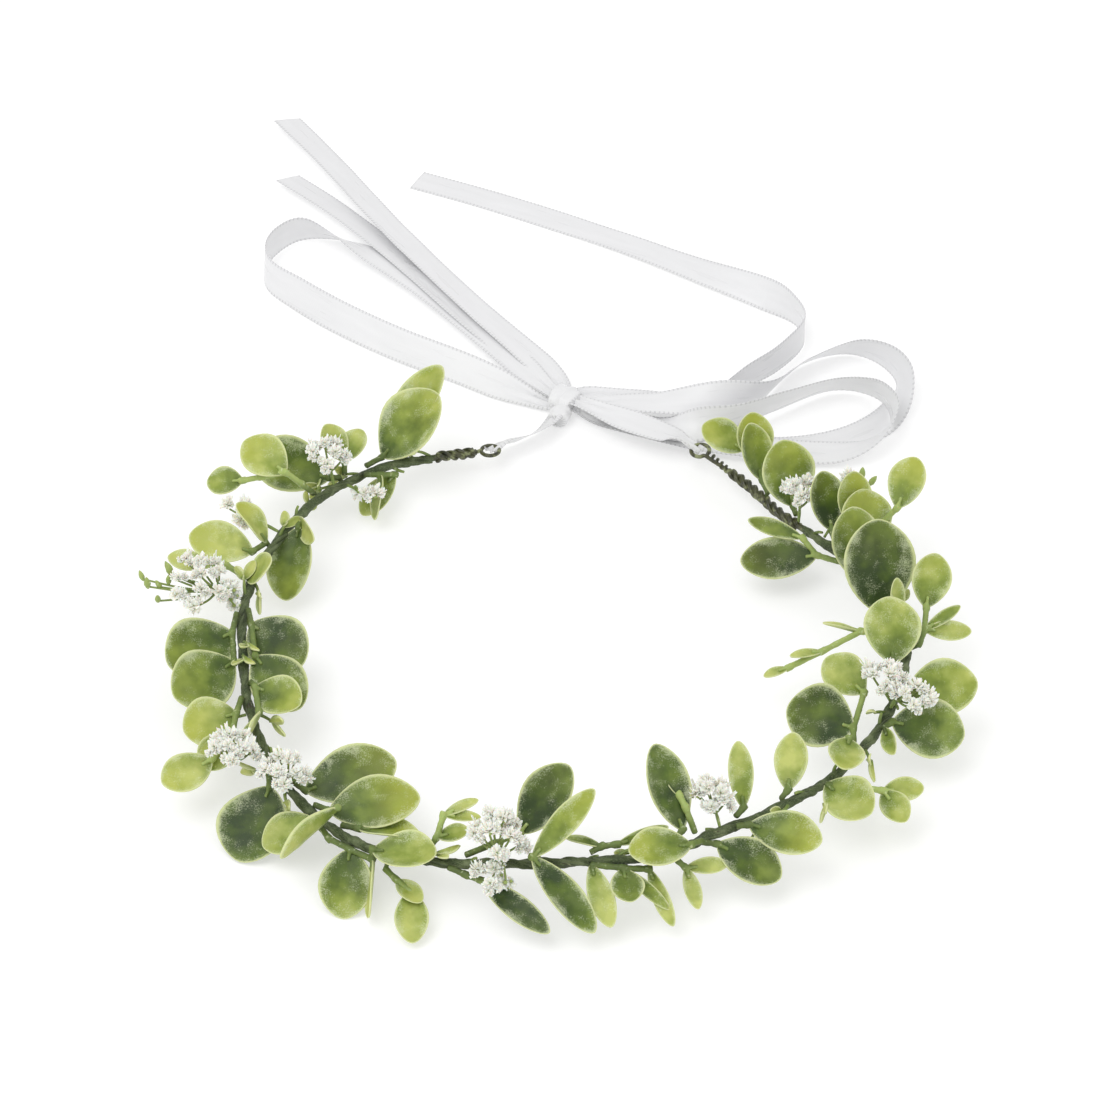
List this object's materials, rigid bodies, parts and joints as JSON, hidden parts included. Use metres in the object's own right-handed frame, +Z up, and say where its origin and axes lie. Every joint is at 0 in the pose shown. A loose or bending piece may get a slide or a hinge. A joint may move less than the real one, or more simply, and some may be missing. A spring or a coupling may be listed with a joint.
{
  "type": "flower crown",
  "caption": "Artificial eucalyptus and small white flower crown on a taped wire ring, open at the back and tied with satin ribbons in a bow.",
  "frame": {"origin": "middle of the head opening, on the surface the crown lies on", "axes": "+Z up out of the head opening, +Y towards the ribbon bow at the back, +X to the wearer's side"},
  "size_m": [0.2235, 0.3683, 0.0352],
  "materials": {
    "wire": "satin",
    "tape": "matte",
    "stem": "satin",
    "leaf": "satin",
    "flower": "matte",
    "satin": "satin"
  },
  "bodies": {
    "crown": {"main_wire": "wire", "floral_tape": "tape", "left_wire_eye": "wire", "right_wire_eye": "wire", "left_end_sprig_stems": "stem", "left_back_sprig_stems": "stem", "left_upper_sprig_stems": "stem", "left_sprig_stems": "stem", "left_lower_sprig_stems": "stem", "front_left_sprig_stems": "stem", "front_bud_sprig_stems": "stem", "front_middle_sprig_stems": "stem", "front_right_sprig_stems": "stem", "right_lower_sprig_stems": "stem", "right_sprig_stems": "stem", "right_upper_sprig_stems": "stem", "right_back_sprig_stems": "stem", "right_end_sprig_stems": "stem", "left_end_sprig_leaves": "leaf", "left_back_sprig_leaves": "leaf", "left_upper_sprig_leaves": "leaf", "left_sprig_leaves": "leaf", "left_lower_sprig_leaves": "leaf", "front_left_sprig_leaves": "leaf", "front_bud_sprig_leaves": "leaf", "front_middle_sprig_leaves": "leaf", "front_right_sprig_leaves": "leaf", "right_lower_sprig_leaves": "leaf", "right_sprig_leaves": "leaf", "right_upper_sprig_leaves": "leaf", "right_back_sprig_leaves": "leaf", "right_end_sprig_leaves": "leaf", "left_back_spray": "flower", "left_spray": "flower", "left_lower_spray": "flower", "front_left_spray": "flower", "front_spray": "flower", "front_right_spray": "flower", "right_spray": "flower", "right_back_spray": "flower"},
    "bow": {"bow_knot": "satin", "left_ribbon_tie": "satin", "right_ribbon_tie": "satin", "lower_left_tail": "satin", "upper_left_tail": "satin", "left_bow_loop": "satin", "long_right_tail": "satin", "right_bow_loop": "satin", "right_inner_loop": "satin"},
    "front_drop": {"front_drop_sprig_stems": "stem", "front_drop_sprig_leaves": "leaf"},
    "front_pair": {"front_pair_sprig_stems": "stem", "front_pair_sprig_leaves": "leaf"},
    "right_outer": {"right_outer_sprig_stems": "stem", "right_outer_sprig_leaves": "leaf"},
    "inner_twig": {"right_inner_twig_stems": "stem", "right_inner_twig_leaves": "leaf"},
    "right_inner": {"right_inner_sprig_stems": "stem", "right_inner_sprig_leaves": "leaf"}
  },
  "joints": [
    {"name": "bow_swing", "type": "hinge", "parent": "crown", "child": "bow", "pos_m": [0.006, 0.082, 0.007], "axis": [1, 0, 0], "range_deg": [-90, 0]},
    {"name": "front_drop_bend", "type": "hinge", "parent": "crown", "child": "front_drop", "pos_m": [-0.0482, -0.0853, 0.0081], "axis": [0.8705, -0.4923, 0], "range_deg": [-12, 12]},
    {"name": "front_pair_bend", "type": "hinge", "parent": "crown", "child": "front_pair", "pos_m": [-0.0095, -0.0904, 0.0169], "axis": [0.9945, -0.1049, 0], "range_deg": [-15, 15]},
    {"name": "right_outer_bend", "type": "hinge", "parent": "crown", "child": "right_outer", "pos_m": [0.0908, -0.0095, 0.0143], "axis": [0.1049, 0.9945, 0], "range_deg": [-12, 12]},
    {"name": "inner_twig_bend", "type": "hinge", "parent": "crown", "child": "inner_twig", "pos_m": [0.0845, -0.0066, 0.0142], "axis": [0.078, 0.997, 0], "range_deg": [-12, 12]},
    {"name": "right_inner_bend", "type": "hinge", "parent": "crown", "child": "right_inner", "pos_m": [0.0727, 0.0294, 0.0102], "axis": [-0.375, 0.927, 0], "range_deg": [-12, 12]}
  ]
}
